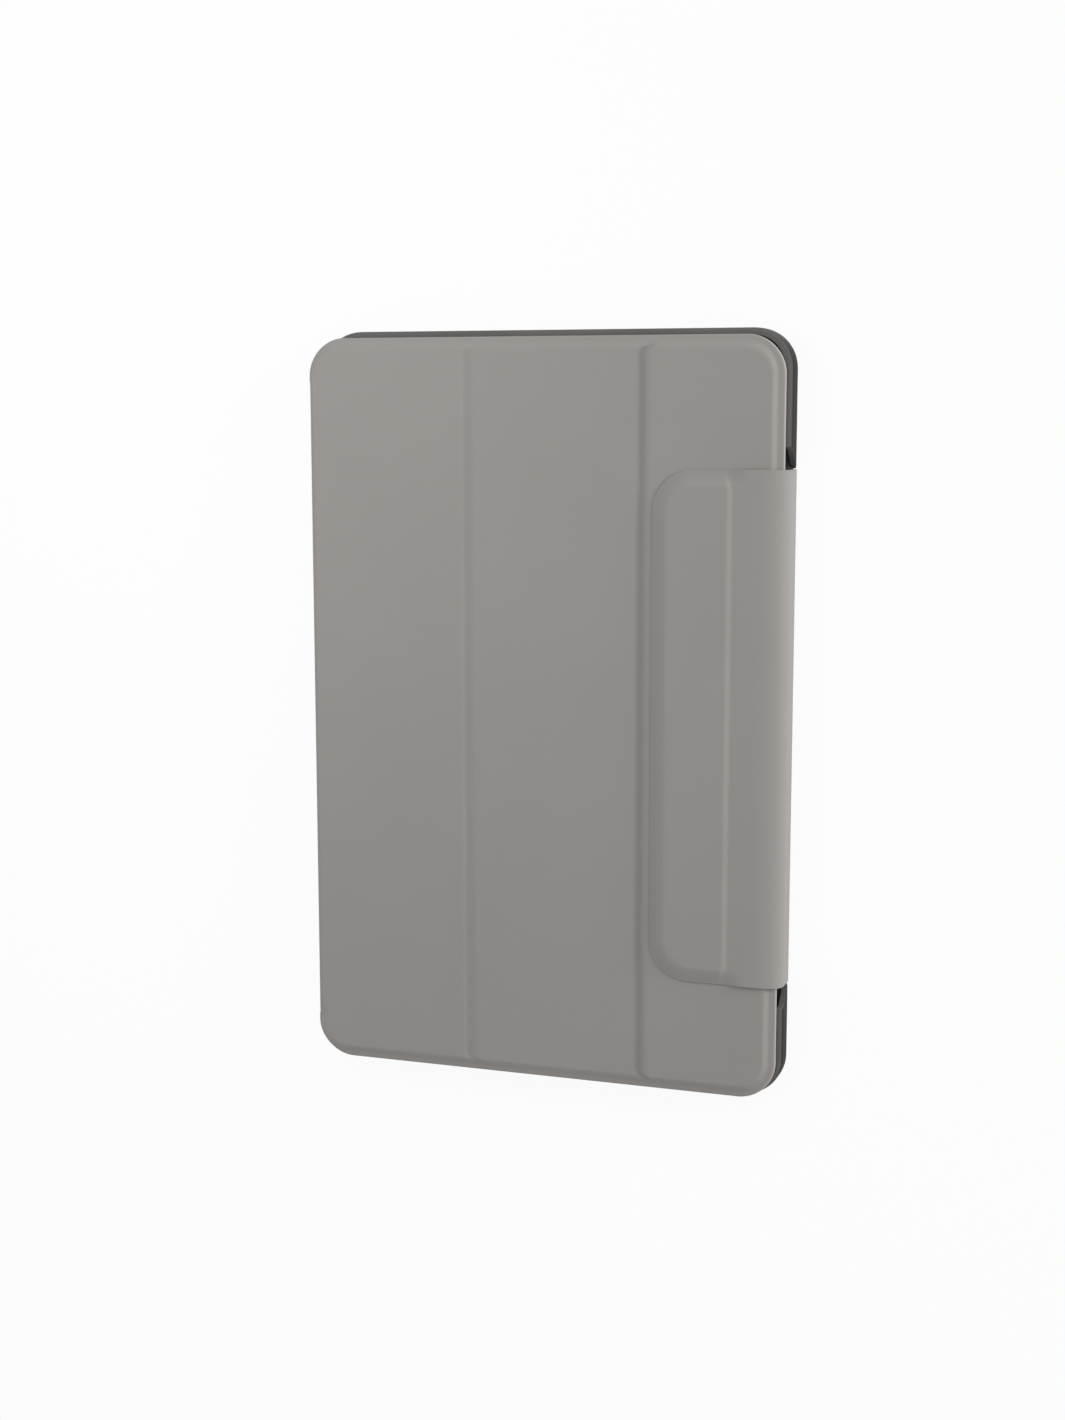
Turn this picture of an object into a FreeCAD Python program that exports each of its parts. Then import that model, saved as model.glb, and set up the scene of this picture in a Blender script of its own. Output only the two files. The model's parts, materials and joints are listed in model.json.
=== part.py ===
import FreeCAD, Part
import math
import os
from collections import namedtuple

# Folio case for an eleven-inch tablet: a soft tray on a leather back, a spine,
# a front cover in three boards that folds into a stand, and a magnetic side flap.
# X runs from the spine to the opening edge, Y to the tablet's top, Z out of the cover.
# The case lies on its back. The origin is the centre of its footprint.

# The tablet that the case is made for
tablet_width = 163.8
tablet_height = 254.0
tablet_thickness = 6.5

# Tray that grips the tablet
tablet_fit = 0.15
tray_wall = 1.9
tray_spine_wall = 1.2
tray_end_wall = 1.3
tray_floor = 1.0
tray_lip = 0.7
tray_lip_reach = 1.0
tray_corner = 13.2
tray_spine_corner = 16.0
tray_front_round = 1.1
tray_back_round = 2.2
tray_lining_sheet = 0.3
tray_lining_inset = 0.3

# Back of the case
back_skin_sheet = 0.7
back_board_sheet = 1.0
back_inset = 1.5
hinge_leaf = 4.0

# Front cover
cover_height = 256.0
cover_corner = 13.1
cover_setback = 2.2
cover_drop = 1.6
cover_gap = 0.3
cover_lining_sheet = 0.5
cover_board_sheet = 0.7
cover_skin_sheet = 0.5
cover_margin = 3.4
cover_spine_margin = 2.0
panel_2_width = 62.2
panel_3_width = 47.6

# Folds between the boards of the cover
fold_1_groove = 4.0
fold_2_groove = 4.4
groove_skin = 0.3
groove_corner = 2.4
pad_slope = 0.6
fold_bead = 0.3
fold_axis_lift = 0.15
fold_clearance = 0.25
lining_slit = 0.3

# Spine
spine_gap = 1.95
spine_lining_sheet = 0.3
spine_board_sheet = 0.4
spine_skin_sheet = 0.5
spine_length = 226.0
spine_front_bead = 0.4
spine_front_clearance = 0.3
spine_end_clearance = 0.3

# Side flap that wraps from the back onto the cover, measured from the cover's middle
flap_above = 84.3
flap_below = 88.8
flap_reach = 44.0
flap_corner = 13.9
flap_setback = 0.35
flap_gap = 0.3
flap_lining_sheet = 0.4
flap_skin_sheet = 0.5
flap_board_sheet = 0.6
flap_bend = 3.3
flap_bead_clearance = 0.25
flap_leaf_end = 5.4
flap_side_gap = 0.3
flap_wall_ramp = 7.0
flap_window_gap = 0.6
pad_left_margin = 6.6
pad_width = 19.8
pad_end_margin = 4.3
pad_corner = 3.5

# Magnets and the plate that they catch in the stand
magnet_width = 10.0
magnet_length = 24.0
magnet_count = 4
magnet_pitch = 40.0
keeper_width = 22.0
keeper_length = 180.0
keeper_sheet = 0.5
keeper_from_spine = 23.0

# Openings in the tray
camera_width = 15.0
camera_height = 34.0
camera_corner = 4.0
camera_ring_wall = 2.2
camera_from_right = 20.0
camera_from_top = 24.0
camera_ring_recess = 0.1
port_width = 16.0
speaker_length = 26.0
speaker_height = 2.4
speaker_offset = 50.0

# Heights of the layers, from the table up
back_board_bottom = back_skin_sheet
tray_bottom = back_board_bottom + back_board_sheet
pocket_bottom = tray_bottom + tray_floor
tablet_bottom = pocket_bottom + tray_lining_sheet
pocket_top = tablet_bottom + tablet_thickness
tray_top = pocket_top + tray_lip
cover_bottom = tray_top + cover_gap
cover_board_bottom = cover_bottom + cover_lining_sheet
cover_margin_top = cover_board_bottom + cover_skin_sheet
cover_board_top = cover_board_bottom + cover_board_sheet
cover_top = cover_board_top + cover_skin_sheet
groove_top = cover_board_bottom + groove_skin
fold_axis_z = cover_board_bottom + fold_axis_lift
flap_lining_bottom = cover_top + flap_gap
flap_board_bottom = flap_lining_bottom + flap_lining_sheet
flap_margin_top = flap_board_bottom + flap_skin_sheet
flap_board_top = flap_board_bottom + flap_board_sheet
flap_pad_top = flap_board_top + flap_skin_sheet
flap_sheet = flap_lining_sheet + flap_skin_sheet

# Places across the case, with the spine's outer face and the tray's right face at equal distances
spine_sheet = spine_lining_sheet + spine_board_sheet + spine_skin_sheet
pocket_width = tablet_width + 2 * tablet_fit
pocket_height = tablet_height + 2 * tablet_fit
case_width = spine_sheet + spine_gap + tray_spine_wall + pocket_width + tray_wall
case_right = case_width / 2
case_left = -case_right
pocket_right = case_right - tray_wall
pocket_left = pocket_right - pocket_width
tray_left = pocket_left - tray_spine_wall
tray_half = pocket_height / 2 + tray_end_wall
cover_middle = (cover_height / 2 - cover_drop - tray_half) / 2
tray_middle = cover_middle + cover_drop
tray_top_end = tray_middle + tray_half
tray_bottom_end = tray_middle - tray_half
spine_inner = tray_left - spine_gap
spine_root_bead = spine_sheet / 2
spine_root_x = case_left + spine_root_bead
spine_root_z = spine_root_bead
spine_bottom = spine_root_z + spine_root_bead + spine_end_clearance
spine_front_x = case_left + spine_front_bead
spine_front_z = cover_margin_top - spine_front_bead - fold_axis_lift
spine_top = spine_front_z - spine_front_bead - fold_axis_lift
cover_hinge_edge = spine_front_x + spine_front_bead + spine_front_clearance
cover_right = case_right - cover_setback
fold_2_x = cover_right - panel_3_width
fold_1_x = fold_2_x - panel_2_width
flap_outer = case_right - flap_setback
flap_inner = flap_outer - flap_sheet
flap_bead = flap_sheet / 2
flap_root_x = flap_outer - flap_bead
flap_root_z = flap_bead
flap_side_bottom = flap_root_z + flap_bead + flap_bead_clearance
flap_bend_x = flap_outer - flap_bend
flap_bend_z = flap_margin_top - flap_bend
shoulder_x = flap_bend_x + (flap_bend - flap_bead) * math.cos(math.pi / 4)
shoulder_z = flap_bend_z + (flap_bend - flap_bead) * math.sin(math.pi / 4)
flap_left = cover_right - flap_reach
flap_top = cover_middle + flap_above
flap_bottom = cover_middle - flap_below
back_edge_at_flap = flap_inner - flap_side_gap
pad_left = flap_left + pad_left_margin
pad_right = pad_left + pad_width
pad_middle_x = (pad_left + pad_right) / 2
pad_middle_y = (flap_top + flap_bottom) / 2

# A rounded rectangle seen from the front, with its corner radii
# in the order left bottom, right bottom, right top, left top
Outline = namedtuple("Outline", "left right bottom top corners")


def inset(outline, left, right, ends, corners):
    return Outline(outline.left + left, outline.right - right,
                   outline.bottom + ends, outline.top - ends, corners)


def wire(outline, z):
    # One line and one quarter arc for each side and corner of the outline
    places = [(outline.left, outline.bottom, 180), (outline.right, outline.bottom, 270),
              (outline.right, outline.top, 0), (outline.left, outline.top, 90)]
    inward = [(1, 1), (-1, 1), (-1, -1), (1, -1)]
    points = []
    arcs = []
    for (x, y, start), (dx, dy), radius in zip(places, inward, outline.corners):
        centre = FreeCAD.Vector(x + dx * radius, y + dy * radius, z)
        turn = [math.radians(start + part) for part in (0, 45, 90)]
        stops = [centre + FreeCAD.Vector(math.cos(a), math.sin(a), 0) * radius for a in turn]
        points.append((stops[0], stops[2]))
        arcs.append(Part.Arc(*stops).toShape() if radius else None)
    edges = []
    for index in range(4):
        if arcs[index]:
            edges.append(arcs[index])
        start = points[index][1]
        end = points[(index + 1) % 4][0]
        edges.append(Part.makeLine(start, end))
    return Part.Wire(edges)


def slab(outline, bottom, top):
    return Part.Face(wire(outline, bottom)).extrude(FreeCAD.Vector(0, 0, top - bottom))


def raised_pad(outline, bottom, top):
    # A plateau whose sides slope outwards to its foot
    corners = [radius + pad_slope for radius in outline.corners]
    foot = inset(outline, -pad_slope, -pad_slope, -pad_slope, corners)
    return Part.makeLoft([wire(foot, bottom), wire(outline, top)], True, True)


def block(x_range, y_range, z_range):
    size = [high - low for low, high in (x_range, y_range, z_range)]
    return Part.makeBox(*size, FreeCAD.Vector(x_range[0], y_range[0], z_range[0]))


def rod(x, z, radius, y_range):
    start = FreeCAD.Vector(x, y_range[0], z)
    return Part.makeCylinder(radius, y_range[1] - y_range[0], start, FreeCAD.Vector(0, 1, 0))


def bend(first_angle, last_angle, inner_radius, outer_radius, y_range):
    # A stretch of the flap's bend, with angles from +X towards +Z
    centre = FreeCAD.Vector(flap_bend_x, y_range[0], flap_bend_z)

    def place(radius, angle):
        turn = math.radians(angle)
        return centre + FreeCAD.Vector(math.cos(turn), 0, math.sin(turn)) * radius

    middle = (first_angle + last_angle) / 2
    outer = Part.Arc(*[place(outer_radius, a) for a in (first_angle, middle, last_angle)])
    inner = Part.Arc(*[place(inner_radius, a) for a in (last_angle, middle, first_angle)])
    edges = [outer.toShape(),
             Part.makeLine(place(outer_radius, last_angle), place(inner_radius, last_angle)),
             inner.toShape(),
             Part.makeLine(place(inner_radius, first_angle), place(outer_radius, first_angle))]
    length = y_range[1] - y_range[0]
    return Part.Face(Part.Wire(edges)).extrude(FreeCAD.Vector(0, length, 0))


def save(name, shape):
    shape.removeSplitter().exportStep("parts/" + name + ".step")


os.makedirs("parts", exist_ok=True)
beyond = 2 * tray_wall
flap_span = (flap_bottom, flap_top)
spine_span = (cover_middle - spine_length / 2, cover_middle + spine_length / 2)
cover_span = (cover_middle - cover_height / 2, cover_middle + cover_height / 2)
whole_height = (-beyond, flap_pad_top + beyond)

# Camera window, and the ring that lines it
camera_x = pocket_right - camera_from_right
camera_y = tray_middle + pocket_height / 2 - camera_from_top
window_outline = Outline(camera_x - camera_width / 2, camera_x + camera_width / 2,
                         camera_y - camera_height / 2, camera_y + camera_height / 2,
                         [camera_corner] * 4)
ring_outline = inset(window_outline, -camera_ring_wall, -camera_ring_wall, -camera_ring_wall,
                     [camera_corner + camera_ring_wall] * 4)
ring_hole = slab(ring_outline, -beyond, pocket_bottom)
ring = slab(ring_outline, camera_ring_recess, pocket_bottom)
save("camera_ring", ring.cut(slab(window_outline, -beyond, pocket_bottom)))

# Back skin and board, set back where the flap and the spine leave
tray_corners = [tray_spine_corner, tray_corner, tray_corner, tray_spine_corner]
back_corners = [radius - back_inset for radius in tray_corners]
back_outline = Outline(tray_left, case_right - back_inset, tray_bottom_end + back_inset,
                       tray_top_end - back_inset, back_corners)
leaf_slot = flap_side_gap
flap_slot_span = (flap_bottom - leaf_slot, flap_top + leaf_slot)
past_right = (back_edge_at_flap, case_right + beyond)
flap_passage = block(past_right, flap_slot_span, whole_height)
flap_leaf_left = back_edge_at_flap - hinge_leaf
spine_leaf_right = tray_left + hinge_leaf
flap_leaf_room = block((flap_leaf_left, case_right), flap_slot_span, (0, back_skin_sheet))
spine_leaf_room = block((case_left, spine_leaf_right), spine_span, (0, back_skin_sheet))
back_skin = slab(back_outline, 0, back_skin_sheet)
for cutter in (ring_hole, flap_passage, flap_leaf_room, spine_leaf_room):
    back_skin = back_skin.cut(cutter)
save("back_skin", back_skin)

keeper_left = tray_left + keeper_from_spine
keeper_span = (tray_middle - keeper_length / 2, tray_middle + keeper_length / 2)
keeper = block((keeper_left, keeper_left + keeper_width), keeper_span,
               (back_board_bottom, back_board_bottom + keeper_sheet))
back_board = slab(back_outline, back_board_bottom, tray_bottom)
for cutter in (ring_hole, flap_passage, keeper):
    back_board = back_board.cut(cutter)
save("back_board", back_board)
save("stand_keeper_plate", keeper)

# Living hinges on the back: a thin leaf in the skin's plane that ends in a round bead
flap_leaf = block((flap_leaf_left, flap_root_x), flap_span, (0, back_skin_sheet))
flap_root = rod(flap_root_x, flap_root_z, flap_bead, flap_span)
save("flap_root_hinge", flap_leaf.fuse(flap_root))
spine_leaf = block((spine_root_x, spine_leaf_right), spine_span, (0, back_skin_sheet))
spine_root = rod(spine_root_x, spine_root_z, spine_root_bead, spine_span)
save("spine_root_hinge", spine_leaf.fuse(spine_root))

# Tray: a floor, walls and a lip that reaches over the tablet's edge
tray_outline = Outline(tray_left, case_right, tray_bottom_end, tray_top_end, tray_corners)
pocket_corners = [radius - tray_wall for radius in tray_corners]
pocket_outline = Outline(pocket_left, pocket_right, tray_bottom_end + tray_end_wall,
                         tray_top_end - tray_end_wall, pocket_corners)
mouth_outline = inset(pocket_outline, tray_lip_reach, tray_lip_reach, tray_lip_reach,
                      [radius - tray_lip_reach for radius in pocket_corners])
tray = slab(tray_outline, tray_bottom, tray_top)
front_edges = [edge for edge in tray.Edges if edge.BoundBox.ZMin > tray_top - tray_lip / 2]
tray = tray.makeFillet(tray_front_round, front_edges)
back_edges = [edge for edge in tray.Edges if edge.BoundBox.ZMax < tray_bottom + tray_lip / 2]
tray = tray.makeFillet(tray_back_round, back_edges)
tray = tray.cut(slab(pocket_outline, pocket_bottom, pocket_top))
tray = tray.cut(slab(mouth_outline, pocket_top, tray_top))
tray = tray.cut(ring_hole)

# The right wall ramps down at both ends of the flap and is open behind it
window_bottom = flap_bottom - flap_window_gap
window_top = flap_top + flap_window_gap
ramp_points = [(window_bottom - flap_wall_ramp, tray_top), (window_bottom, pocket_bottom),
               (window_top, pocket_bottom), (window_top + flap_wall_ramp, tray_top)]
ramp_start = pocket_right - tray_lip_reach
ramp_wire = Part.makePolygon([FreeCAD.Vector(ramp_start, y, z) for y, z in ramp_points + ramp_points[:1]])
tray = tray.cut(Part.Face(ramp_wire).extrude(FreeCAD.Vector(tray_lip_reach + beyond, 0, 0)))
tray = tray.cut(flap_passage)

# Port slot in the bottom wall, and a pair of speaker slots in each end wall
port_middle = (tablet_bottom + pocket_top) / 2
end_reach = tray_end_wall + tray_lip_reach / 2


def end_slot(x, length, height, corner, y):
    outline = Outline(x - length / 2, x + length / 2, port_middle - height / 2,
                      port_middle + height / 2, [corner] * 4)
    slot = slab(outline, -end_reach, end_reach)
    slot.rotate(FreeCAD.Vector(0, 0, 0), FreeCAD.Vector(1, 0, 0), 90)
    slot.translate(FreeCAD.Vector(0, y, 0))
    return slot


pocket_middle = (pocket_left + pocket_right) / 2
port_room = block((pocket_middle - port_width / 2, pocket_middle + port_width / 2),
                  (tray_bottom_end - end_reach, tray_bottom_end + end_reach), (pocket_bottom, pocket_top))
tray = tray.cut(port_room)
for y in (tray_bottom_end, tray_top_end):
    for side in (-speaker_offset, speaker_offset):
        slot = end_slot(pocket_middle + side, speaker_length, speaker_height, speaker_height / 2.5, y)
        tray = tray.cut(slot)
save("tray", tray)

lining_corners = [radius - tray_lining_inset for radius in pocket_corners]
tray_lining_outline = inset(pocket_outline, tray_lining_inset, tray_lining_inset, tray_lining_inset,
                            lining_corners)
tray_lining = slab(tray_lining_outline, pocket_bottom, tablet_bottom)
save("tray_lining", tray_lining.cut(slab(window_outline, pocket_bottom, tablet_bottom)))

# Spine: three sheets that stand beside the tray, and the bead that carries the cover
spine_skin_inner = case_left + spine_skin_sheet
spine_board_inner = spine_skin_inner + spine_board_sheet
spine_height = (spine_bottom, spine_top)
save("spine_skin", block((case_left, spine_skin_inner), spine_span, spine_height))
save("spine_board", block((spine_skin_inner, spine_board_inner), spine_span, spine_height))
save("spine_lining", block((spine_board_inner, spine_inner), spine_span, spine_height))
spine_web = block((case_left, spine_skin_inner), spine_span, (spine_top, spine_front_z))
spine_front = rod(spine_front_x, spine_front_z, spine_front_bead, spine_span)
save("spine_front_hinge", spine_web.fuse(spine_front))

# Magnets lie in a column under the flap's pad
magnet_offsets = [(index - (magnet_count - 1) / 2) * magnet_pitch for index in range(magnet_count)]


def magnets(bottom, top):
    x_range = (pad_middle_x - magnet_width / 2, pad_middle_x + magnet_width / 2)
    rows = [(pad_middle_y + offset - magnet_length / 2, pad_middle_y + offset + magnet_length / 2)
            for offset in magnet_offsets]
    return Part.Compound([block(x_range, row, (bottom, top)) for row in rows])


# Cover panels: a lining, a board let into the skin, and the skin pressed down round it.
# The cover's left edge is cut back beside the spine, and reaches the spine's outer face at its corners
notch_span = (spine_span[0] - spine_end_clearance, spine_span[1] + spine_end_clearance)
hinge_notch = block((case_left - beyond, cover_hinge_edge), notch_span, whole_height)


def panel(name, left, right, left_groove, right_groove, board_magnets):
    left_edge = not left_groove
    right_edge = not right_groove
    outer = [cover_corner * edge for edge in (left_edge, right_edge, right_edge, left_edge)]
    outline = Outline(left, right, *cover_span, outer)
    margins = [left_groove / 2 or cover_spine_margin, right_groove / 2 or cover_margin]
    left_corner = cover_corner - cover_margin if left_edge else groove_corner
    right_corner = cover_corner - cover_margin if right_edge else groove_corner
    board_corners = [left_corner, right_corner, right_corner, left_corner]
    board_outline = inset(outline, margins[0], margins[1], cover_margin, board_corners)
    board = slab(board_outline, cover_board_bottom, cover_board_top)
    skin = slab(outline, cover_board_bottom, cover_margin_top)
    lining = slab(outline, cover_bottom, cover_board_bottom)
    for x, groove, bead_gap in ((left, left_groove, fold_clearance), (right, right_groove, 0)):
        if not groove:
            continue
        floor_half = groove / 2 - pad_slope
        skin = skin.cut(block((x - floor_half, x + floor_half), cover_span, (groove_top, cover_top)))
        around_bead = rod(x, fold_axis_z, fold_bead + bead_gap, cover_span)
        slit = block((x - lining_slit / 2, x + lining_slit / 2), cover_span, (cover_bottom, cover_top))
        skin = skin.cut(around_bead)
        lining = lining.cut(around_bead).cut(slit)
    skin = skin.fuse(raised_pad(board_outline, cover_margin_top, cover_top)).cut(board)
    skin = skin.cut(hinge_notch)
    lining = lining.cut(hinge_notch)
    save(name + "_skin", skin)
    save(name + "_lining", lining)
    if board_magnets:
        magnet_group = magnets(cover_board_bottom, cover_board_top)
        board = board.cut(magnet_group)
        magnet_group.exportStep("parts/" + name + "_magnets.step")
    save(name + "_board", board)


panel("panel_1", case_left, fold_1_x, 0, fold_1_groove, False)
panel("panel_2", fold_1_x, fold_2_x, fold_1_groove, fold_2_groove, False)
panel("panel_3", fold_2_x, cover_right, fold_2_groove, 0, True)
save("fold_1_hinge", rod(fold_1_x, fold_axis_z, fold_bead, cover_span))
save("fold_2_hinge", rod(fold_2_x, fold_axis_z, fold_bead, cover_span))

# Flap: a side sheet and half of the bend on one leaf, the other half and the pad on the next
skin_radius = flap_bend - flap_skin_sheet
lining_radius = flap_bend - flap_sheet
shoulder_bead = rod(shoulder_x, shoulder_z, flap_bead, flap_span)
shoulder_room = rod(shoulder_x, shoulder_z, flap_bead + flap_bead_clearance, flap_span)
save("flap_shoulder_hinge", shoulder_bead)
side_height = (flap_side_bottom, flap_bend_z)
skin_inner = flap_outer - flap_skin_sheet
side_skin = block((skin_inner, flap_outer), flap_span, side_height)
side_skin = side_skin.fuse(bend(0, 45 - flap_leaf_end, skin_radius, flap_bend, flap_span))
save("flap_side_skin", side_skin.cut(shoulder_bead))
side_lining = block((flap_inner, skin_inner), flap_span, side_height)
side_lining = side_lining.fuse(bend(0, 45 - flap_leaf_end, lining_radius, skin_radius, flap_span))
save("flap_side_lining", side_lining.cut(shoulder_bead))

flap_outline = Outline(flap_left, flap_bend_x, flap_bottom, flap_top, [flap_corner, 0, 0, flap_corner])
pad_outline = Outline(pad_left, pad_right, flap_bottom + pad_end_margin, flap_top - pad_end_margin,
                      [pad_corner] * 4)
pad_board = slab(pad_outline, flap_board_bottom, flap_board_top)
pad_skin = slab(flap_outline, flap_board_bottom, flap_margin_top)
pad_skin = pad_skin.fuse(bend(45, 90, skin_radius, flap_bend, flap_span))
pad_skin = pad_skin.fuse(raised_pad(pad_outline, flap_margin_top, flap_pad_top))
save("flap_pad_skin", pad_skin.cut(pad_board).cut(shoulder_room))
pad_lining = slab(flap_outline, flap_lining_bottom, flap_board_bottom)
pad_lining = pad_lining.fuse(bend(45, 90, lining_radius, skin_radius, flap_span))
save("flap_pad_lining", pad_lining.cut(shoulder_room))
flap_magnets = magnets(flap_board_bottom, flap_board_top)
save("flap_pad_board", pad_board.cut(flap_magnets))
flap_magnets.exportStep("parts/flap_magnets.step")

for label, x, z in (("spine root", spine_root_x, spine_root_z), ("spine front", spine_front_x, spine_front_z),
                    ("fold 1", fold_1_x, fold_axis_z), ("fold 2", fold_2_x, fold_axis_z),
                    ("flap root", flap_root_x, flap_root_z), ("flap shoulder", shoulder_x, shoulder_z)):
    print("axis of", label, round(x, 4), round(z, 4))
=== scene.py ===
import json
import math
from collections import namedtuple

import bmesh
import bpy
from mathutils import Matrix, Vector


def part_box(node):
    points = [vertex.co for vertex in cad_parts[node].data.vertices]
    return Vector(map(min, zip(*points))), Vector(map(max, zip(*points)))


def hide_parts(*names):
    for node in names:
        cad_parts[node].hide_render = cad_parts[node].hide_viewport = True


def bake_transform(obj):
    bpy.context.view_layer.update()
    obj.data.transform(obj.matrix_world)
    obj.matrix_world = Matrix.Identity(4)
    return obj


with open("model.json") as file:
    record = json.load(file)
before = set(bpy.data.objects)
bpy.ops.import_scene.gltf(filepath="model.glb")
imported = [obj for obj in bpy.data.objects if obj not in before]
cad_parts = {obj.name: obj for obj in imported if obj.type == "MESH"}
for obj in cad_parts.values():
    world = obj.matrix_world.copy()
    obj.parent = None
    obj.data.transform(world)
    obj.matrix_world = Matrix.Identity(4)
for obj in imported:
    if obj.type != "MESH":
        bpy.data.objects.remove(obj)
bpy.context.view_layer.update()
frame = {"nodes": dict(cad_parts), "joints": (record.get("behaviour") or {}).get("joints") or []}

# Lengths are in millimetres here and become metres when a mesh is made
MM = 0.001


def box_mm(node):
    low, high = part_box(node)
    return low / MM, high / MM


def joint_axis(name):
    joint = next(j for j in frame["joints"] if j["name"] == name)
    return Vector(joint["pos_m"]) / MM


# Places read from the frame
cover_low = box_mm("panel_1_lining")[0]
cover_high = box_mm("panel_3_lining")[1]
lining_top = cover_high.z
cover_face = box_mm("panel_2_skin")[1].z
fold_1 = joint_axis("cover_fold_1")
fold_2 = joint_axis("cover_fold_2")
board_low, board_high = box_mm("panel_3_board")
spine_low, spine_high = box_mm("spine_skin")
spine_leaf = box_mm("spine_root_hinge")
flap_low, flap_high = box_mm("flap_pad_lining")
pad_right = box_mm("flap_pad_board")[1].x
pad_face = box_mm("flap_pad_skin")[1].z
flap_side = box_mm("flap_side_skin")[1].x
flap_leaf = box_mm("flap_root_hinge")[0].x

# Sheets and edges of the leather
skin_sheet = 0.5
lining_sheet = 0.38
cover_lining_sheet = 0.3
rim_reach = 0.7
rim_drop = 0.5
wrap_reach = 2.0
margin_dip = 0.25
margin_tilt = 0.15
low_rim_drop = 0.2
low_margin_tilt = 0.45
turned_edge = 0.6
cover_corner = 13.1
board_corner = 9.7
flap_corner = 13.9
margin_top = lining_top + skin_sheet
hem_gap = 0.02
lining_back = cover_low.z + cover_lining_sheet

Outline = namedtuple("Outline", "left right bottom top left_corner right_corner")
Groove = namedtuple("Groove", "left low right")


def smooth(value):
    value = min(1.0, max(0.0, value))
    return value * value * (3 - 2 * value)


def inside(x, y, outline):
    # Distance from the outline's edge, positive within it
    middle_x = (outline.left + outline.right) / 2
    middle_y = (outline.bottom + outline.top) / 2
    corner = outline.left_corner if x < middle_x else outline.right_corner
    over_x = abs(x - middle_x) - (outline.right - outline.left) / 2 + corner
    over_y = abs(y - middle_y) - (outline.top - outline.bottom) / 2 + corner
    reach = math.hypot(max(over_x, 0), max(over_y, 0))
    return corner - reach - min(max(over_x, over_y), 0)


def corner_rows(bottom, top, corner, step, straight):
    # Rows across the height, by equal angles round the corners and by equal steps between them
    steps = round(90 / step)
    turns = [math.radians(90 * index / steps) for index in range(steps + 1)]
    low = [bottom + corner * (1 - math.sin(turn)) for turn in reversed(turns)]
    high = [top - corner * (1 - math.sin(turn)) for turn in turns]
    count = round((top - bottom - 2 * corner) / straight)
    span = (high[0] - low[-1]) / count
    return low + [low[-1] + span * index for index in range(1, count)] + high


def corner_inset(y, bottom, top, corner):
    over = max(bottom + corner - y, y - top + corner, 0)
    return corner - math.sqrt(max(corner * corner - over * over, 0))


def solid_sheet(name, rows, columns, place, paint_shading=None):
    # A closed sheet over a grid: place gives the outer and the inner point of a row and column
    mesh = bpy.data.meshes.new(name)
    bm = bmesh.new()
    # Each outer point carries painted shading from paint_shading: above zero painted shade, below zero a
    # painted highlight
    painted_shading = bm.verts.layers.float.new("painted_shading")
    outer = []
    inner = []
    for row in rows:
        pairs = [place(row, column) for column in columns]
        outer.append([bm.verts.new(pair[0] * MM) for pair in pairs])
        inner.append([bm.verts.new(pair[1] * MM) for pair in pairs])
        for vertex, pair in zip(outer[-1], pairs):
            vertex[painted_shading] = paint_shading(pair[0]) if paint_shading else 0
    last_row = len(rows) - 1
    last_column = len(columns) - 1
    for i in range(last_row):
        for j in range(last_column):
            cell = ((i, j), (i, j + 1), (i + 1, j + 1), (i + 1, j))
            bm.faces.new([outer[a][b] for a, b in cell])
            bm.faces.new([inner[a][b] for a, b in reversed(cell)])
    border = [(0, j) for j in range(last_column)]
    border += [(i, last_column) for i in range(last_row)]
    border += [(last_row, j) for j in range(last_column, 0, -1)]
    border += [(i, 0) for i in range(last_row, 0, -1)]
    for start, end in zip(border, border[1:] + border[:1]):
        bm.faces.new([outer[end[0]][end[1]], outer[start[0]][start[1]],
                      inner[start[0]][start[1]], inner[end[0]][end[1]]])
    bmesh.ops.recalc_face_normals(bm, faces=bm.faces)
    bm.to_mesh(mesh)
    bm.free()
    mesh.shade_smooth()
    mesh.set_sharp_from_angle(angle=math.radians(50))
    piece = bpy.data.objects.new(name, mesh)
    bpy.context.scene.collection.objects.link(piece)
    return piece


def dress(piece, material):
    piece.data.materials.clear()
    piece.data.materials.append(material)


def point(x, y, z):
    return Vector((x, y, z))


def between(first, last, count):
    return [first + (last - first) * index / count for index in range(count + 1)]


# Materials, each made by its own function

def new_material(name):
    material = bpy.data.materials.new(name)
    material.use_nodes = True
    nodes = material.node_tree.nodes
    shader = nodes["Principled BSDF"]
    place = nodes.new("ShaderNodeTexCoord")
    return material, nodes, material.node_tree.links, shader, place.outputs["Object"]


def noise(nodes, links, coordinates, scale, detail):
    node = nodes.new("ShaderNodeTexNoise")
    node.inputs["Scale"].default_value = scale
    node.inputs["Detail"].default_value = detail
    links.new(coordinates, node.inputs["Vector"])
    return node.outputs["Fac"]


def ramp(nodes, links, value, stops):
    node = nodes.new("ShaderNodeValToRGB")
    for element, (position, colour) in zip(node.color_ramp.elements, stops):
        element.position = position
        element.color = (*colour, 1)
    links.new(value, node.inputs["Fac"])
    return node.outputs["Color"]


def bump(nodes, links, height, strength, depth, below=None):
    node = nodes.new("ShaderNodeBump")
    node.inputs["Strength"].default_value = strength
    node.inputs["Distance"].default_value = depth
    links.new(height, node.inputs["Height"])
    if below:
        links.new(below, node.inputs["Normal"])
    return node.outputs["Normal"]


def tint(colour, factor):
    return tuple(channel * factor for channel in colour)


def value_range(nodes, links, value, low, high):
    node = nodes.new("ShaderNodeMapRange")
    node.inputs["To Min"].default_value = low
    node.inputs["To Max"].default_value = high
    links.new(value, node.inputs["Value"])
    return node.outputs["Result"]


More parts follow.
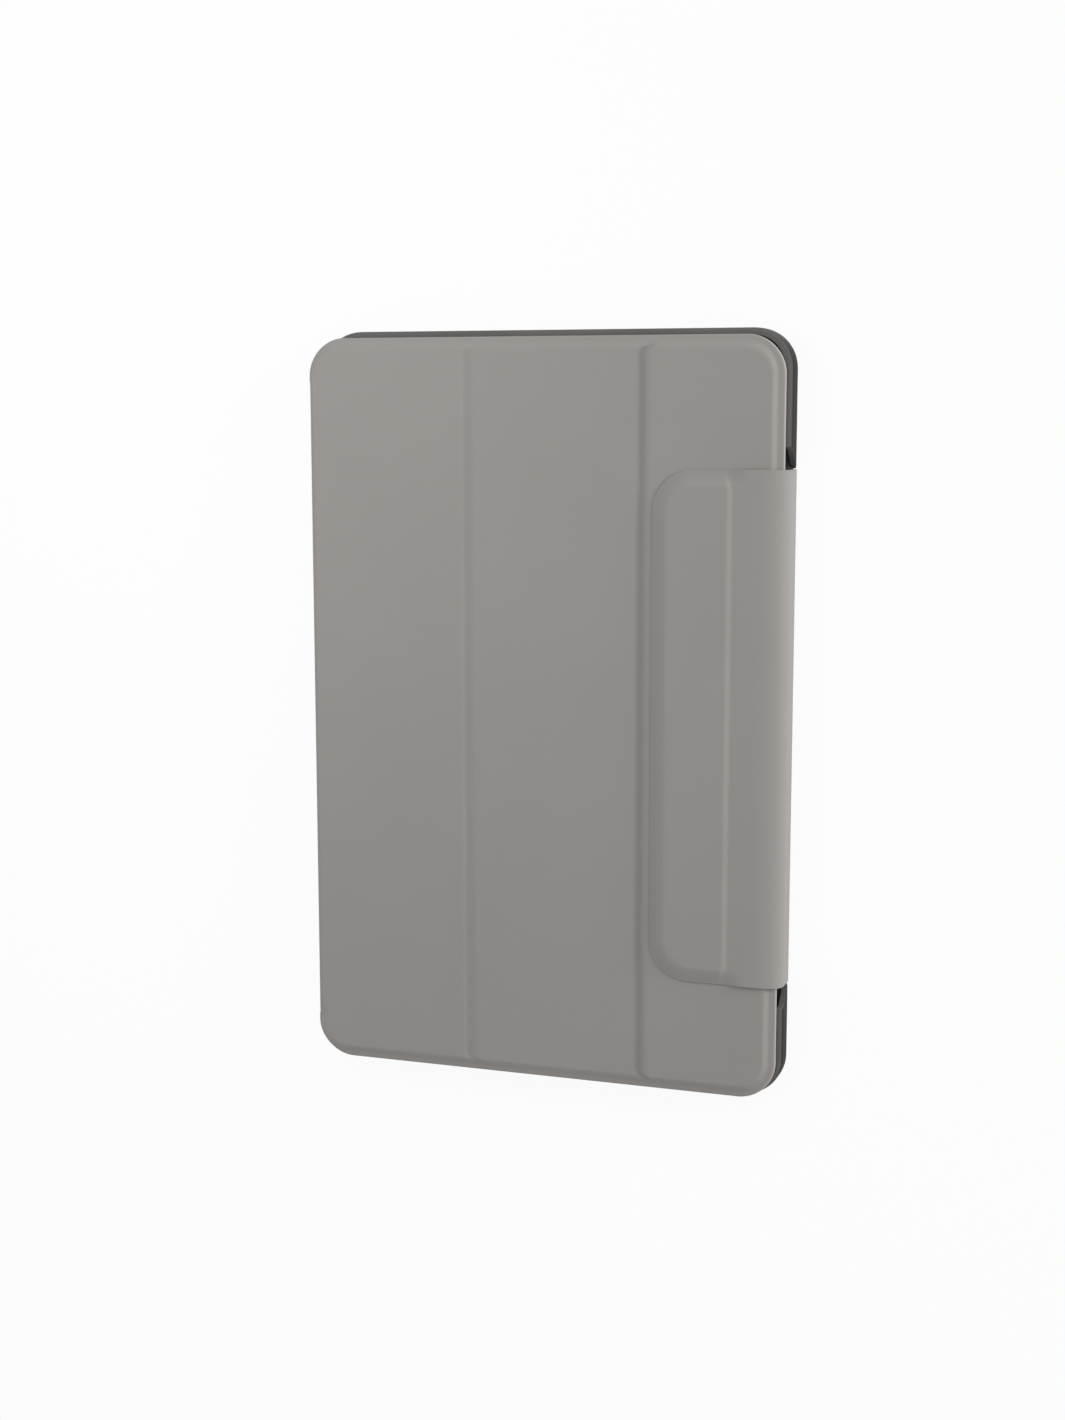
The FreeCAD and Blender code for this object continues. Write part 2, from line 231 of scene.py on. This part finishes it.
def leather(name, colour):
    # Coated leather: pebbled grain, slow changes of shade, a soft sheen, and painted shade where the
    # painted_shading attribute is above zero
    material, nodes, links, shader, place = new_material(name)
    grain = nodes.new("ShaderNodeTexVoronoi")
    grain.inputs["Scale"].default_value = 1500
    links.new(place, grain.inputs["Vector"])
    cloud = noise(nodes, links, place, scale=26, detail=3)
    pores = noise(nodes, links, place, scale=4200, detail=2)
    shade = ramp(nodes, links, cloud, [(0.3, tint(colour, 0.985)), (0.7, tint(colour, 1.015))])
    painted_shading = nodes.new("ShaderNodeAttribute")
    painted_shading.attribute_name = "painted_shading"
    lightness = value_range(nodes, links, painted_shading.outputs["Fac"], low=1, high=0)
    # Below zero, the attribute paints a highlight: the colour is made paler
    lightness.node.clamp = False
    shaded_colour = nodes.new("ShaderNodeVectorMath")
    shaded_colour.operation = "SCALE"
    links.new(shade, shaded_colour.inputs["Vector"])
    links.new(lightness, shaded_colour.inputs["Scale"])
    links.new(shaded_colour.outputs["Vector"], shader.inputs["Base Color"])
    links.new(value_range(nodes, links, pores, low=0.56, high=0.7), shader.inputs["Roughness"])
    fine = bump(nodes, links, pores, strength=0.25, depth=0.00003)
    pebbles = bump(nodes, links, grain.outputs["Distance"], strength=0.22, depth=0.00008, below=fine)
    links.new(pebbles, shader.inputs["Normal"])
    shader.inputs["Specular IOR Level"].default_value = 0.32
    shader.inputs["Sheen Weight"].default_value = 0.08
    shader.inputs["Sheen Roughness"].default_value = 0.5
    return material


def microfibre(name, colour):
    # Brushed nap: short streaky fibres and a strong sheen
    material, nodes, links, shader, place = new_material(name)
    nap = noise(nodes, links, place, scale=3000, detail=4)
    cloud = noise(nodes, links, place, scale=60, detail=3)
    shade = ramp(nodes, links, cloud, [(0.25, tint(colour, 0.93)), (0.75, tint(colour, 1.07))])
    links.new(shade, shader.inputs["Base Color"])
    shader.inputs["Roughness"].default_value = 0.95
    shader.inputs["Specular IOR Level"].default_value = 0.15
    shader.inputs["Sheen Weight"].default_value = 0.35
    shader.inputs["Sheen Roughness"].default_value = 0.4
    links.new(bump(nodes, links, nap, strength=0.5, depth=0.0001), shader.inputs["Normal"])
    return material


def moulded(name, colour, roughness, texture_scale, depth, specular=0.5):
    # Moulded soft plastic with a fine spark-eroded texture
    material, nodes, links, shader, place = new_material(name)
    texture = noise(nodes, links, place, texture_scale, detail=3)
    cloud = noise(nodes, links, place, scale=40, detail=2)
    shade = ramp(nodes, links, cloud, [(0.3, tint(colour, 0.93)), (0.7, tint(colour, 1.07))])
    links.new(shade, shader.inputs["Base Color"])
    spread = 0.06
    rough = value_range(nodes, links, texture, roughness - spread, roughness + spread)
    links.new(rough, shader.inputs["Roughness"])
    links.new(bump(nodes, links, texture, strength=0.3, depth=depth), shader.inputs["Normal"])
    shader.inputs["Specular IOR Level"].default_value = specular
    return material


def tray_plastic_with_painted_shade(name, colour, wall_painted_shade):
    # The wall facing +X, on the flap's side, gets a darker colour than the rest of the tray: painted shade
    material = moulded(name, colour, roughness=0.7, texture_scale=1800, depth=0.00004, specular=0.2)
    nodes = material.node_tree.nodes
    links = material.node_tree.links
    shader = nodes["Principled BSDF"]
    cloudy = shader.inputs["Base Color"].links[0].from_socket
    place = nodes.new("ShaderNodeTexCoord")
    facing = nodes.new("ShaderNodeSeparateXYZ")
    links.new(place.outputs["Normal"], facing.inputs["Vector"])
    share = ramp(nodes, links, facing.outputs["X"], [(0.3, (1, 1, 1)), (0.95, (wall_painted_shade,) * 3)])
    mix = nodes.new("ShaderNodeVectorMath")
    mix.operation = "MULTIPLY"
    links.new(cloudy, mix.inputs[0])
    links.new(share, mix.inputs[1])
    links.new(mix.outputs["Vector"], shader.inputs["Base Color"])
    return material


def plated(name, colour, roughness):
    # Plated sheet metal with faint rolling marks
    material, nodes, links, shader, place = new_material(name)
    stretch = nodes.new("ShaderNodeMapping")
    stretch.inputs["Scale"].default_value = (40, 1, 1)
    links.new(place, stretch.inputs["Vector"])
    marks = noise(nodes, links, stretch.outputs["Vector"], scale=90, detail=4)
    shade = ramp(nodes, links, marks, [(0.2, tint(colour, 0.9)), (0.8, colour)])
    links.new(shade, shader.inputs["Base Color"])
    shader.inputs["Metallic"].default_value = 1
    spread = 0.15
    rough = value_range(nodes, links, marks, roughness, roughness + spread)
    links.new(rough, shader.inputs["Roughness"])
    return material


def clear_sheet(name, shade, clearness):
    # A matt sheet that lets most of the light through
    material, nodes, links, shader = new_material(name)[:4]
    shader.inputs["Base Color"].default_value = (shade, shade, shade, 1)
    shader.inputs["Roughness"].default_value = 0.9
    shader.inputs["Specular IOR Level"].default_value = 0
    clear = nodes.new("ShaderNodeBsdfTransparent")
    mix = nodes.new("ShaderNodeMixShader")
    mix.inputs["Fac"].default_value = clearness
    links.new(shader.outputs["BSDF"], mix.inputs[1])
    links.new(clear.outputs["BSDF"], mix.inputs[2])
    links.new(mix.outputs["Shader"], nodes["Material Output"].inputs["Surface"])
    return material


skin_material = leather("grey_leather", (0.296, 0.279, 0.266))
lining_material = microfibre("grey_microfibre", (0.17, 0.165, 0.16))
tray_material = tray_plastic_with_painted_shade("dark_soft_plastic", (0.12, 0.115, 0.111), wall_painted_shade=0.09)
ring_material = moulded("black_plastic", (0.02, 0.02, 0.021), roughness=0.3, texture_scale=2500,
                        depth=0.00002)
board_material = moulded("grey_board", (0.2, 0.19, 0.182), roughness=0.75, texture_scale=600,
                         depth=0.00006)
magnet_material = plated("nickel_plate", (0.62, 0.6, 0.57), roughness=0.2)
steel_material = plated("zinc_plate", (0.55, 0.56, 0.57), roughness=0.35)
floor_material = clear_sheet("pale_floor", shade=0.9, clearness=0.92)

# Front cover: the skin is pressed down round each board and into the two grooves.
# The painted shades are the shares by which the colour is darkened to paint shade in the grooves and on
# the lower margin; the painted highlight is the share by which the colour is lightened along the right
# rim.
spine_edge = 0.3
cover = Outline(cover_low.x, cover_high.x, cover_low.y, cover_high.y, cover_corner, cover_corner)
plateau = Outline(cover.left + spine_edge, board_high.x, board_low.y, board_high.y,
                  board_corner, board_corner)
board_rise = cover_face - margin_top
board_slope = 2.1
end_slope = 3.0
end_bend = 3.0
margin_width = plateau.bottom - cover.bottom
fold_1_depth = 0.3
fold_2_depth = 0.42
fold_1_painted_shade = 0.06
fold_2_painted_shade = 0.24
low_margin_painted_shade = 0.06
right_rim_painted_highlight = 0.42
groove_shape = Groove(-2.4, -0.6, 3.0)
groove_painted_shade = Groove(-2.9, -1.0, 2.4)
edge_zone = 20.0


def lowness(y):
    # Grows from the start of the lower corners to the lower edge
    return smooth((cover.bottom + cover_corner - y) / cover_corner)


def edge_fall(from_edge, y):
    # The margin's tilt and the rim's quarter ellipse. The lower margin tilts more and has less of a rim.
    low = lowness(y)
    tilt = margin_tilt + (low_margin_tilt - margin_tilt) * low
    drop = rim_drop + (low_rim_drop - rim_drop) * low
    along = max(1 - from_edge / rim_reach, 0)
    return tilt * max(1 - from_edge / margin_width, 0) + drop * (1 - math.sqrt(1 - along * along))


def groove(beside, sides):
    # Steep on the left of the fold, with a longer rise on the right
    if beside < sides.low:
        return smooth((beside - sides.left) / (sides.low - sides.left))
    return 1 - smooth((beside - sides.low) / (sides.right - sides.low))


def from_fold(x, y, fold):
    # Both grooves bend to the right at their ends
    from_end = max(min(y - plateau.bottom, plateau.top - y), 0)
    along = max(1 - from_end / end_bend, 0)
    return x - fold.x - end_bend * (1 - math.sqrt(1 - along * along))


def on_plateau(x, y):
    # The slope starts within the boards' outline, and is longer at the top and at the bottom
    from_end = min(y - cover.bottom, cover.top - y)
    slope = board_slope + (end_slope - board_slope) * smooth(1 - from_end / cover_corner)
    return smooth(1 + (inside(x, y, plateau) - board_slope / 2) / slope)


# Painted shade in the grooves and on the lower margin, and a painted highlight on the right rim
def painted_cover_shading(spot):
    shade = fold_1_painted_shade * groove(from_fold(spot.x, spot.y, fold_1), groove_painted_shade)
    shade += fold_2_painted_shade * groove(from_fold(spot.x, spot.y, fold_2), groove_painted_shade)
    raised = on_plateau(spot.x, spot.y)
    shade = shade * raised + low_margin_painted_shade * lowness(spot.y) * (1 - raised)
    on_rim = smooth(1 - inside(spot.x, spot.y, cover) / rim_reach)
    return shade - right_rim_painted_highlight * on_rim * smooth(1 - (cover.right - spot.x) / cover_corner)


def cover_height(x, y):
    # Height of the skin's face: a plateau over the boards, two grooves, tilted margins, a rounded rim
    from_edge = max(inside(x, y, cover), 0)
    raised = margin_dip + board_rise - fold_1_depth * groove(from_fold(x, y, fold_1), groove_shape)
    raised -= fold_2_depth * groove(from_fold(x, y, fold_2), groove_shape)
    raised *= on_plateau(x, y)
    return margin_top - margin_dip + raised - edge_fall(from_edge, y)


def across(x, y, outline, corner):
    # Moves a column with the outline's rounded corners
    squeeze = corner_inset(y, outline.bottom, outline.top, corner)
    if x < outline.left + edge_zone:
        return outline.left + squeeze + (x - outline.left) * (edge_zone - squeeze) / edge_zone
    if x > outline.right - edge_zone:
        return outline.right - squeeze - (outline.right - x) * (edge_zone - squeeze) / edge_zone
    return x


spine_x = spine_low.x
spine_middle = (spine_low.z + spine_high.z) / 2
wrap_centre = (cover.left + wrap_reach, cover_face - wrap_reach)


def cover_skin_place(y, column):
    x = across(column, y, cover, cover_corner)
    top = cover_height(x, y)
    bottom = max(lining_back + hem_gap, top - skin_sheet)
    if inside(x, y, cover) < turned_edge:
        bottom = cover_low.z + hem_gap
    return point(x, y, top), point(x, y, bottom)


def wrap_place(y, column):
    # Columns below -1 stand on the spine, from there to 0 lie on its bend, and the rest on the cover
    beside_spine = spine_low.y <= y <= spine_high.y
    if column >= 0:
        top, bottom = cover_skin_place(y, cover.left + column)
        if beside_spine and column < 2 * wrap_reach:
            top.z = cover_face
            bottom.z = cover_face - skin_sheet
        return top, bottom
    turn = math.radians(90 * max(column + 1, 0))
    if not beside_spine:
        top, bottom = cover_skin_place(y, cover.left + wrap_reach * (1 - math.cos(turn)))
        top.z += min(column + 1, 0) * (top.z - cover_low.z - 2 * hem_gap)
        return top, bottom
    outward = Vector((-math.cos(turn), 0, math.sin(turn)))
    top = point(wrap_centre[0], y, wrap_centre[1]) + outward * wrap_reach
    top.z += min(column + 1, 0) * (wrap_centre[1] - spine_middle)
    return top, top - outward * skin_sheet


# Columns of the grid: fine at the rims and in the grooves, coarse on the flat of the boards
rim_steps = [0, 0.02, 0.06, 0.12, 0.2, 0.3, 0.4, 0.5, 0.59, 0.63, 0.8, 1.0, 1.2, 1.5, 1.8, 2.0, 2.2, 2.5,
             2.8, 3.1, 3.4, 3.7, 4.0, 4.3, 4.7, 5.3, 6.5, 9, 13, edge_zone]
groove_steps = between(0, 6, 24) + [7, 10]
spine_end_step = 0.15


def fold_columns(x):
    return [x - step for step in reversed(groove_steps)] + [x + step for step in groove_steps[1:]]


panel_1_middle = (cover.left + fold_1.x) / 2
panel_2_middle = (fold_1.x + fold_2.x) / 2
cover_rows = corner_rows(cover.bottom, cover.top, cover_corner, step=2, straight=8)
spine_ends = [spine_low.y - spine_end_step, spine_low.y, spine_high.y, spine_high.y + spine_end_step]
wrap_rows = sorted(cover_rows + spine_ends)
right_rim = [cover.right - step for step in reversed(rim_steps)]
fold_1_columns = fold_columns(fold_1.x)
fold_2_columns = fold_columns(fold_2.x)
wrap_columns = between(-2, -1, 5)[:-1] + between(-1, 0, 14)[:-1]
wrap_columns += [step for step in rim_steps if wrap_reach <= step < edge_zone]
wrap_columns += between(edge_zone, panel_1_middle - cover.left, 2)
left_columns = between(panel_1_middle, fold_1_columns[0], 3)[:-1]
left_columns += fold_1_columns[:-1] + between(fold_1_columns[-1], panel_2_middle, 4)
right_columns = between(panel_2_middle, fold_2_columns[0], 4)[:-1]
right_columns += [x for x in fold_2_columns if x < right_rim[0]][:-1] + right_rim


def blend_across(piece):
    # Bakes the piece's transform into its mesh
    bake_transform(piece)


wrap_skin = solid_sheet("cover_skin_wrap", wrap_rows, wrap_columns, wrap_place, painted_cover_shading)
dress(wrap_skin, skin_material)
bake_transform(wrap_skin)
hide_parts("spine_skin", "spine_front_hinge")

cover_left_skin = solid_sheet("cover_skin_left", cover_rows, left_columns, cover_skin_place,
                              painted_cover_shading)
dress(cover_left_skin, skin_material)
blend_across(cover_left_skin)
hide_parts("panel_1_skin", "fold_1_hinge")

cover_right_skin = solid_sheet("cover_skin_right", cover_rows, right_columns, cover_skin_place,
                               painted_cover_shading)
dress(cover_right_skin, skin_material)
blend_across(cover_right_skin)
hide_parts("panel_2_skin", "panel_3_skin", "fold_2_hinge")

# Lining of the cover, within the skin's turned edge, with a crease along each fold
lining_left_inset = 1.2
crease_depth = 0.2
crease_half = 1.6
lining = Outline(cover.left + lining_left_inset, cover.right - turned_edge, cover.bottom + turned_edge,
                 cover.top - turned_edge, cover_corner - turned_edge, cover_corner - turned_edge)
lining_rows = corner_rows(lining.bottom, lining.top, lining.left_corner, step=5, straight=8)


def cover_lining_place(y, column):
    x = across(min(max(column, lining.left), lining.right), y, lining, lining.left_corner)
    crease = max(smooth(1 - abs(x - fold.x) / crease_half) for fold in (fold_1, fold_2))
    return point(x, y, lining_back), point(x, y, cover_low.z + crease_depth * crease)


lining_left = between(lining.left, panel_1_middle, 6)[:-1] + left_columns
lining_right = [x for x in right_columns if x < lining.right - turned_edge] + [lining.right]

cover_left_lining = solid_sheet("cover_lining_left", lining_rows, lining_left, cover_lining_place)
dress(cover_left_lining, lining_material)
blend_across(cover_left_lining)
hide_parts("panel_1_lining")

cover_right_lining = solid_sheet("cover_lining_right", lining_rows, lining_right, cover_lining_place)
dress(cover_right_lining, lining_material)
blend_across(cover_right_lining)
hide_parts("panel_2_lining", "panel_3_lining")

# A path is a list of (x, z, normal x, normal z) along a strip's outer face, seen along Y

def line_path(start, end, count):
    length = math.dist(start, end)
    normal = (-(end[1] - start[1]) / length, (end[0] - start[0]) / length)
    places = zip(between(start[0], end[0], count), between(start[1], end[1], count))
    return [(x, z, *normal) for x, z in places]


def arc_path(centre, radius, first, last, count):
    stops = []
    for angle in between(first, last, count):
        normal_x = math.cos(math.radians(angle))
        normal_z = math.sin(math.radians(angle))
        stops.append((centre[0] + radius * normal_x, centre[1] + radius * normal_z, normal_x, normal_z))
    return stops


def join_paths(*paths):
    joined = list(paths[0])
    for path in paths[1:]:
        joined += path[1:]
    return joined


def path_place(y, stop, outer_depth, inner_depth):
    x, z, normal_x, normal_z = stop
    return (point(x - normal_x * outer_depth, y, z - normal_z * outer_depth),
            point(x - normal_x * inner_depth, y, z - normal_z * inner_depth))


# Spine's lower half: a strip from the back's edge
spine_back_round = 1.2
back_sheet = 0.66
spine_rows = between(spine_low.y, spine_high.y, 48)
leaf_right = spine_leaf[1].x
lower_path = join_paths(
    line_path((leaf_right, 0), (spine_x + spine_back_round, 0), 6),
    arc_path((spine_x + spine_back_round, spine_back_round), spine_back_round, 270, 180, 10),
    line_path((spine_x, spine_back_round), (spine_x, spine_middle), 5))
lower_path = [(x, z, -abs(nx), -abs(nz)) for x, z, nx, nz in lower_path]


def spine_lower_place(y, stop):
    depth = back_sheet + (skin_sheet - back_sheet) * smooth(stop[1] / spine_back_round)
    return path_place(y, stop, 0, depth)


spine_lower = solid_sheet("spine_skin_lower", spine_rows, lower_path, spine_lower_place)
dress(spine_lower, skin_material)
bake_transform(spine_lower)
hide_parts("spine_root_hinge")

# Flap: a strip round the side, its shoulder a flattened ellipse, its pad raised over a board
flap_face = flap_high.z + skin_sheet
shoulder_width = 13.0
shoulder_drop = 6.5
shoulder_power = 3.2
flap_back_round = 1.2
flap_middle = 5.0
flap_sheet = skin_sheet + lining_sheet
shoulder_left = flap_side - shoulder_width
shoulder_foot = flap_face - shoulder_drop


def shoulder_path(count):
    # From the flat of the flap round to its upright side
    stops = []
    for index in range(count + 1):
        turn = math.radians(90 * index / count)
        across_part = math.sin(turn) ** (2 / shoulder_power)
        up_part = math.cos(turn) ** (2 / shoulder_power)
        normal = Vector((across_part ** (shoulder_power - 1) / shoulder_width,
                         up_part ** (shoulder_power - 1) / shoulder_drop))
        normal.normalize()
        stops.append((shoulder_left + shoulder_width * across_part,
                      shoulder_foot + shoulder_drop * up_part, normal.x, normal.y))
    return stops


flap_outline = Outline(flap_low.x, flap_side + shoulder_drop, flap_low.y, flap_high.y, flap_corner, 0)
pad_rise = pad_face - flap_face
pad_slope = 2.2
pad_foot = 0.8
pad_ramp = 4.2
pad_corner = 8.0
flap_margin_painted_shade = 0.08
flap_edge_drop = 0.75
flap_edge_slope = 5.0
flap_rim = 0.22
thinnest_skin = 0.1
flat_end = 6.0
flap_hem = 0.27
pad_outline = flap_outline._replace(left=flap_low.x - pad_corner, right=pad_right,
                                    bottom=flap_low.y + pad_foot - pad_slope / 2,
                                    top=flap_high.y - pad_foot + pad_slope / 2,
                                    left_corner=0, right_corner=pad_corner)
flap_rows = corner_rows(flap_low.y, flap_high.y, flap_corner, step=2.5, straight=8)
flat_start = 12
ridge_half = 2.4
ridge_clear = 3.0
flat_columns = [flap_low.x + step for step in rim_steps if step < flat_start]
flat_columns += between(flap_low.x + flat_start, pad_right - ridge_half, 4)[:-1]
flat_columns += between(pad_right - ridge_half, pad_right + ridge_half, 16)
flat_columns += between(pad_right + ridge_clear, shoulder_left, 4)
flat_path = [(x, flap_face, 0, 1) for x in flat_columns]
front_path = join_paths(flat_path, shoulder_path(40),
                        line_path((flap_side, shoulder_foot), (flap_side, flap_middle), 3))
front_path = [(x, z, abs(nx), abs(nz)) for x, z, nx, nz in front_path]


def flap_stop(y, stop):
    x = stop[0]
    if x < flap_low.x + edge_zone:
        x = across(x, y, flap_outline, flap_corner)
    return (x, *stop[1:])


def flap_edge_round(from_edge):
    along = max(flap_rim - from_edge, 0)
    return flap_rim - math.sqrt(flap_rim ** 2 - along ** 2)


def pad_ramp_share(x, y):
    return min(1, max(0, (inside(x, y, flap_outline) - pad_foot) / pad_ramp))


def flap_flatness(x):
    # Falls from 1 on the pad to 0 before the shoulder
    return 1 - smooth((x - pad_right) / flat_end)


# Painted shade on the flap's margin, fading out towards the pad and towards the shoulder
def flap_painted_shade(spot):
    return flap_margin_painted_shade * flap_flatness(spot.x) * (1 - pad_ramp_share(spot.x, spot.y))


def flap_depths(x, y):
    # Depths of the skin's two faces under the flap's plane: a ramp up to the pad, a step on its right
    from_edge = max(inside(x, y, flap_outline), 0)
    on_flat = flap_flatness(x)
    depth = flap_edge_drop * on_flat * max(1 - from_edge / flap_edge_slope, 0)
    depth -= pad_rise * min(pad_ramp_share(x, y), smooth(0.5 + inside(x, y, pad_outline) / pad_slope))
    inner = max(skin_sheet, depth + thinnest_skin)
    if from_edge < turned_edge:
        inner = flap_sheet + flap_hem * on_flat
    return depth + flap_edge_round(from_edge), inner


def flap_skin_place(y, stop):
    stop = flap_stop(y, stop)
    return path_place(y, stop, *flap_depths(stop[0], y))


flap_front = solid_sheet("flap_skin_front", flap_rows, front_path, flap_skin_place, flap_painted_shade)
dress(flap_front, skin_material)
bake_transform(flap_front)
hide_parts("flap_pad_skin", "flap_side_skin", "flap_shoulder_hinge")

lining_low_y = flap_low.y + turned_edge
lining_high_y = flap_high.y - turned_edge
flap_lining_rows = corner_rows(lining_low_y, lining_high_y, flap_corner - turned_edge, step=5, straight=8)
flap_lining_outline = flap_outline._replace(left=flap_low.x + turned_edge, bottom=lining_low_y,
                                            top=lining_high_y)
flap_lining_path = [stop for stop in front_path if stop[0] > flap_low.x + turned_edge]


def flap_lining_place(y, stop):
    x = stop[0]
    if x < flap_low.x + edge_zone:
        x = across(x, y, flap_lining_outline, flap_corner - turned_edge)
    outer = max(skin_sheet, flap_depths(x, y)[0] + thinnest_skin)
    return path_place(y, (x, *stop[1:]), outer, flap_sheet)


flap_lining = solid_sheet("flap_lining_front", flap_lining_rows, flap_lining_path, flap_lining_place)
dress(flap_lining, lining_material)
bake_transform(flap_lining)
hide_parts("flap_pad_lining", "flap_side_lining")

root_path = join_paths(
    line_path((flap_leaf, 0), (flap_side - flap_back_round, 0), 6),
    arc_path((flap_side - flap_back_round, flap_back_round), flap_back_round, 270, 360, 10),
    line_path((flap_side, flap_back_round), (flap_side, flap_middle), 4))
root_path = [(x, z, abs(nx), -abs(nz)) for x, z, nx, nz in root_path]
end_steps = [step for step in rim_steps if step < 2 * flap_rim]
root_end = 1.0
root_rows = [flap_low.y + step for step in end_steps]
root_rows += between(flap_low.y + root_end, flap_high.y - root_end, 40)
root_rows += [flap_high.y - step for step in reversed(end_steps)]


def flap_root_place(y, stop):
    risen = smooth(stop[1] / flap_back_round)
    outer = flap_edge_round(min(y - flap_low.y, flap_high.y - y)) * risen
    return path_place(y, stop, outer, back_sheet + (flap_sheet - back_sheet) * risen)


flap_root = solid_sheet("flap_skin_root", root_rows, root_path, flap_root_place)
dress(flap_root, skin_material)
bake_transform(flap_root)
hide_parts("flap_root_hinge")

# Pieces that keep their CAD shape, with softened edges
sheet_round = 0.05
magnet_round = 0.1
node_looks = {"back_skin": (skin_material, 0.25), "tray": (tray_material, 0.12),
              "camera_ring": (ring_material, 0.2), "stand_keeper_plate": (steel_material, sheet_round)}
for node in ("tray_lining", "spine_lining"):
    node_looks[node] = (lining_material, sheet_round)
for place in ("back", "spine", "panel_1", "panel_2", "panel_3", "flap_pad"):
    node_looks[place + "_board"] = (board_material, sheet_round)
for place in ("panel_3", "flap"):
    node_looks[place + "_magnets"] = (magnet_material, magnet_round)
for node, (material, edge_round) in node_looks.items():
    piece = frame["nodes"][node]
    piece.data.materials.clear()
    piece.data.materials.append(material)
    soften = piece.modifiers.new("soften", "BEVEL")
    soften.width = edge_round * MM
    soften.segments = 2
    soften.limit_method = "ANGLE"
    soften.angle_limit = math.radians(40)
    soften.harden_normals = True

# World: an even light on the object, and white wherever it is seen or mirrored
sky_light = 0.57
world = bpy.data.worlds.new("studio")
bpy.context.scene.world = world
world.use_nodes = True
sky_nodes = world.node_tree.nodes
sky_links = world.node_tree.links
sky = sky_nodes["Background"]
sky.inputs["Color"].default_value = (1, 1, 1, 1)
rays = sky_nodes.new("ShaderNodeLightPath")
seen = rays.outputs["Is Camera Ray"]
for kind in ("Is Glossy Ray", "Is Transmission Ray"):
    either = sky_nodes.new("ShaderNodeMath")
    either.operation = "MAXIMUM"
    sky_links.new(seen, either.inputs[0])
    sky_links.new(rays.outputs[kind], either.inputs[1])
    seen = either.outputs["Value"]
strength = value_range(sky_nodes, sky_links, seen, low=sky_light, high=1)
sky_links.new(strength, sky.inputs["Strength"])


def stage_sheet(name, low, high, height, material):
    # A flat rectangle under the object
    mesh = bpy.data.meshes.new(name)
    corners = [(low.x, low.y), (high.x, low.y), (high.x, high.y), (low.x, high.y)]
    mesh.from_pydata([(x, y, height) for x, y in corners], [], [(0, 1, 2, 3)])
    mesh.materials.append(material)
    sheet = bpy.data.objects.new(name, mesh)
    bpy.context.scene.collection.objects.link(sheet)


# Floor, in metres: it keeps a faint shadow, and shows the back and what folds below it.
# Under the camera window a dark sheet paints the shade that the case casts on the floor there.
floor_half = Vector((6, 6))
floor_below = 0.0003
window_low, window_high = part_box("camera_ring")
stage_sheet("floor", -floor_half, floor_half, -floor_below, floor_material)
stage_sheet("painted_floor_shade", window_low, window_high, -floor_below / 2, ring_material)


def area_light(name, place, target, size, power):
    lamp = bpy.data.lights.new(name, "AREA")
    lamp.shape = "DISK"
    lamp.size = size
    lamp.energy = power
    holder = bpy.data.objects.new(name, lamp)
    holder.location = place
    holder.rotation_mode = "QUATERNION"
    holder.rotation_quaternion = (Vector(target) - Vector(place)).to_track_quat("-Z", "Y")
    bpy.context.scene.collection.objects.link(holder)


area_light("key", place=(1.2, 0.5, 0.27), target=(0, 0, 0), size=0.6, power=11.6)
area_light("fill", place=(-0.18, 0.17, 0.31), target=(-0.05, 0.08, 0), size=0.16, power=0.365)

# Camera, solved from the cover's outline: turns in degrees, place as shares of the cover's height
camera_yaw = -18.859
camera_pitch = 8.411
camera_roll = 0.067
camera_focal = 53.51
camera_share = (-0.008972, 0.00708, 2.823828)
cover_length = cover.top - cover.bottom
turn = Matrix.Rotation(math.radians(camera_roll), 3, "Z")
turn = turn @ Matrix.Rotation(math.radians(camera_pitch), 3, "X")
turn = turn @ Matrix.Rotation(math.radians(camera_yaw), 3, "Y")
turn.transpose()
cover_centre = point((cover.left + cover.right) / 2, (cover.bottom + cover.top) / 2, margin_top - rim_drop)
lens = bpy.data.cameras.new("camera")
lens.sensor_width = 36
lens.lens = camera_focal
camera = bpy.data.objects.new("camera", lens)
camera.matrix_world = turn.to_4x4()
camera.location = (cover_centre + turn @ Vector(camera_share) * cover_length) * MM
bpy.context.scene.collection.objects.link(camera)
bpy.context.scene.camera = camera
bpy.context.scene.view_settings.view_transform = "Standard"
